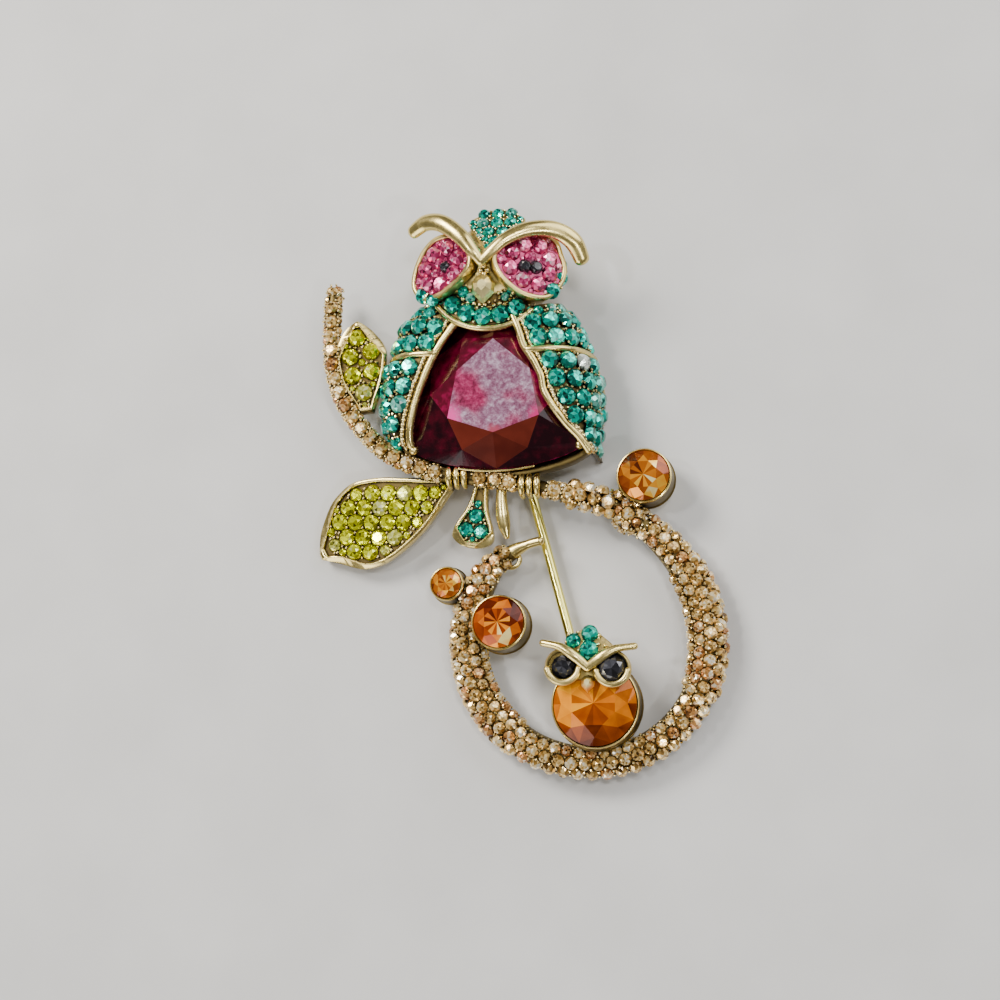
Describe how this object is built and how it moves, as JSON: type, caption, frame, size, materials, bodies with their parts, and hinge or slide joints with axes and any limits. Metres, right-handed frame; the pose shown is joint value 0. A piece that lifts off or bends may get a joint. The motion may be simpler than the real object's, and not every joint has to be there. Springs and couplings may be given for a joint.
{
  "type": "figural animal brooch",
  "caption": "Owl brooch: a big owl with a rounded-triangle stone on a branch that curls into a ring around a baby owl, stone-set leaves and wings, and a hinged pin with an open catch behind.",
  "frame": {"origin": "under the middle of the whole brooch, on the surface that it lies on", "axes": "+X to the wearer's left as seen from the front, +Y towards the big owl's head, +Z out of the front"},
  "size_m": [0.0511, 0.0704, 0.014],
  "materials": {
    "antique_gold": "antique gold plate, darkened in the recesses",
    "bright_brass": "bright drawn wire and sheet",
    "ruby_glass": "foil-backed, polished",
    "amber_glass": "foil-backed, polished",
    "teal_glass": "foil-backed, polished",
    "rose_glass": "foil-backed, polished",
    "peridot_glass": "foil-backed, polished",
    "champagne_glass": "foil-backed, polished",
    "jet_glass": "opaque, polished"
  },
  "bodies": {
    "brooch": {"frame": "antique_gold", "ruby_stone": "ruby_glass", "amber_upper": "amber_glass", "amber_inner": "amber_glass", "amber_small": "amber_glass", "baby_belly": "amber_glass", "baby_eye_left": "jet_glass", "baby_eye_right": "jet_glass", "baby_crown_stones": "teal_glass", "crown_stones": "teal_glass", "collar_stones": "teal_glass", "left_wing_stones": "teal_glass", "right_wing_stones": "teal_glass", "tail_stones": "teal_glass", "left_eye_stones": "rose_glass", "right_eye_stones": "rose_glass", "pupil_stones": "jet_glass", "small_leaf_stones": "peridot_glass", "large_leaf_stones": "peridot_glass", "branch_stones": "champagne_glass", "pin_hinge": "bright_brass", "pin_catch": "bright_brass"},
    "pin": {"pin_stem": "bright_brass"}
  },
  "joints": [
    {"name": "pin_swing", "type": "hinge", "parent": "brooch", "child": "pin", "pos_m": [-0.00217, 0.01454, 0.0019], "axis": [0.9666, 0.2564, 0], "range_deg": [0, 90]}
  ]
}
